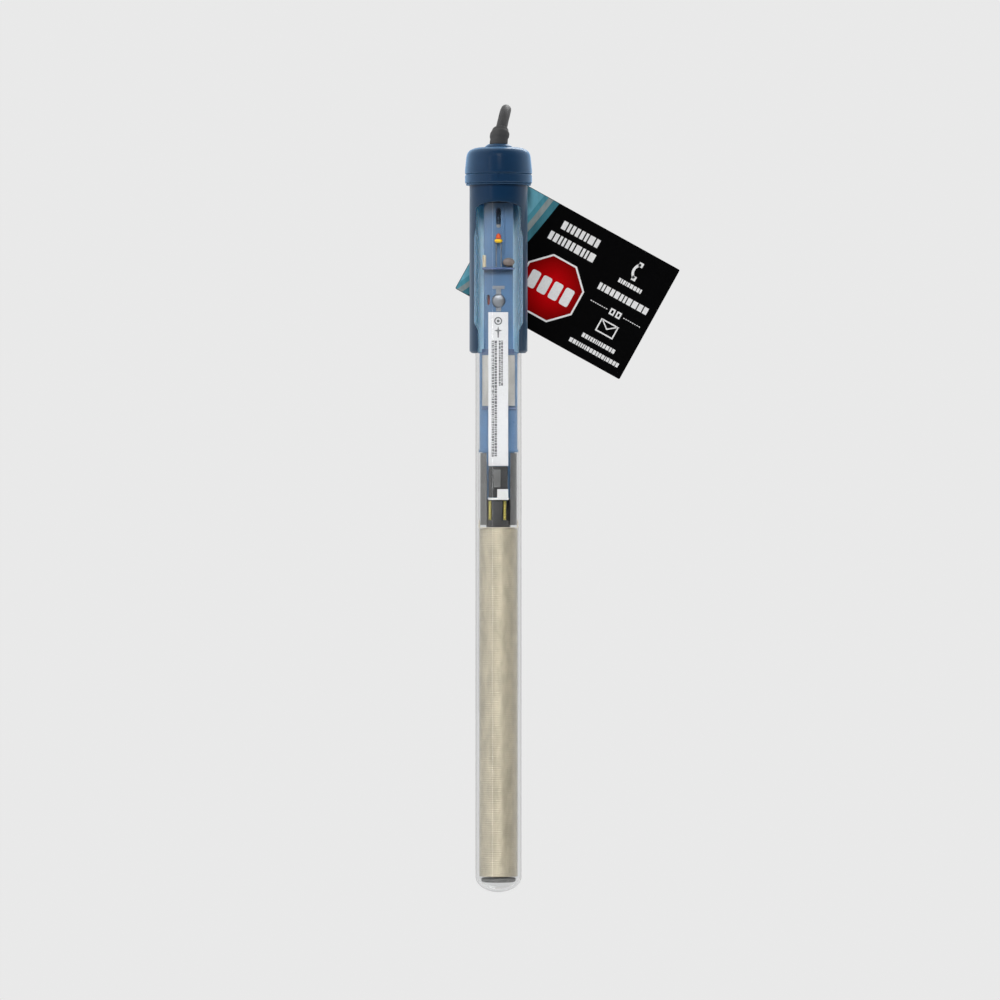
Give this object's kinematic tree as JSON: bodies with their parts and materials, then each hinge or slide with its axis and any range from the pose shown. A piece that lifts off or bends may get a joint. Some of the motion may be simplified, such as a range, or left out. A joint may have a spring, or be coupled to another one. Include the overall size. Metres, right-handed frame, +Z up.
{
  "type": "submersible aquarium heater",
  "caption": "Slim glass-tube aquarium heater hung upright by a bracket, with a turning temperature cap, a windowed hood, visible thermostat and element, a hang tag and a mains cord.",
  "frame": {"origin": "on the heater's axis, halfway up the bare glass, where the holding bracket grips it", "axes": "+Z up the heater's axis to the cap, -Y is the front with the window, +X to the right seen from the front"},
  "size_m": [0.1132, 0.0935, 0.395],
  "materials": {
    "clear_glass": "smooth clear tube",
    "blue_translucent": "smooth translucent moulding",
    "navy_translucent": "smooth translucent moulding",
    "navy_plastic": "moulded",
    "white_plastic": "moulded",
    "black_rubber": "moulded",
    "navy_rubber": "moulded",
    "light_blue_plastic": "satin moulding",
    "clip_blue": "moulded",
    "plate_steel": "satin",
    "label_paper": null,
    "rivet_steel": "domed head",
    "bimetal": "rolled strip",
    "grey_ceramic": "pressed",
    "contact_brass": "bright",
    "magnet_black": "sintered ferrite",
    "live_insulation": "extruded",
    "neutral_insulation": "extruded",
    "lamp_orange": "clear dyed",
    "lamp_yellow": "moulded",
    "board_blue": "pressed board",
    "resistor_beige": "dipped",
    "capacitor_brown": "dipped",
    "shield_grey": "mica sheet",
    "fuse_black": "moulded",
    "lead_yellow": "braided sleeve",
    "former_ceramic": "pressed",
    "winding_wire": "close-wound resistance wire",
    "pad_grey": "glass felt",
    "tag_card": null,
    "glue_pad": "tacky",
    "cord_rubber": "satin",
    "plug_black": "moulded"
  },
  "bodies": {
    "heater": {"glass_tube": "clear_glass", "hood": "blue_translucent", "retaining_collar": "navy_translucent", "bearing_plate": "navy_plastic", "spindle_seal": "black_rubber", "rubber_stopper": "navy_rubber", "chassis": "light_blue_plastic", "steel_plate": "plate_steel", "plate_clip_upper": "clip_blue", "plate_clip_lower": "clip_blue", "label_strip": "label_paper", "rivet": "rivet_steel", "rivet_strap": "rivet_steel", "bimetal_base": "grey_ceramic", "fixed_contact": "contact_brass", "snap_magnet": "magnet_black", "live_wire": "live_insulation", "neutral_wire": "neutral_insulation", "lamp_bulb": "lamp_orange", "lamp_base": "lamp_yellow", "lamp_lead_left": "rivet_steel", "lamp_lead_right": "rivet_steel", "lamp_board": "board_blue", "lamp_resistor": "resistor_beige", "lamp_capacitor": "capacitor_brown", "heat_shield": "shield_grey", "thermal_fuse": "fuse_black", "fuse_bar": "shield_grey", "fuse_clip": "white_plastic", "lead_block": "fuse_black", "element_lead_left": "lead_yellow", "element_lead_right": "lead_yellow", "ceramic_former": "former_ceramic", "heating_winding": "winding_wire", "end_pad": "pad_grey", "hang_tag": "tag_card", "tag_glue_pad": "glue_pad", "strain_relief": "cord_rubber", "cord": "cord_rubber", "cord_hank": "cord_rubber", "cord_tie": "black_rubber", "cord_tail": "cord_rubber", "plug_strain_relief": "cord_rubber", "plug_body": "plug_black", "plug_blade_front": "contact_brass", "plug_blade_back": "contact_brass"},
    "cap": {"adjusting_cap": "navy_translucent", "ring_gear": "white_plastic"},
    "calibration_ring": {"calibration_ring": "navy_translucent"},
    "spindle": {"adjusting_spindle": "white_plastic"},
    "carriage": {"setting_carriage": "white_plastic"},
    "bimetal": {"bimetal_arm": "bimetal", "moving_contact": "contact_brass"}
  },
  "joints": [
    {"name": "cap_turn", "type": "hinge", "parent": "heater", "child": "cap", "pos_m": [0, 0, 0.23], "axis": [0, 0, 1], "range_deg": [-135, 135]},
    {"name": "calibration_turn", "type": "hinge", "parent": "cap", "child": "calibration_ring", "pos_m": [0, 0, 0.2213], "axis": [0, 0, 1], "range_deg": [-12, 12]},
    {"name": "spindle_turn", "type": "hinge", "parent": "heater", "child": "spindle", "pos_m": [0, 0.0078, 0.2285], "axis": [0, 0, 1], "range_deg": [-637, 637]},
    {"name": "carriage_slide", "type": "slide", "parent": "heater", "child": "carriage", "axis": [0, 0, 1], "range_m": [-0.00222, 0.00222]},
    {"name": "bimetal_flex", "type": "hinge", "parent": "heater", "child": "bimetal", "pos_m": [0, 0.0032, 0.1605], "axis": [1, 0, 0], "range_deg": [0, 2.5], "stiffness_Nm_per_rad": 0.02}
  ],
  "couplings": [
    {"joint": "spindle_turn", "follows": "cap_turn", "ratio": 4.7143},
    {"joint": "carriage_slide", "follows": "cap_turn", "m_per_rad": 0.00093788}
  ]
}
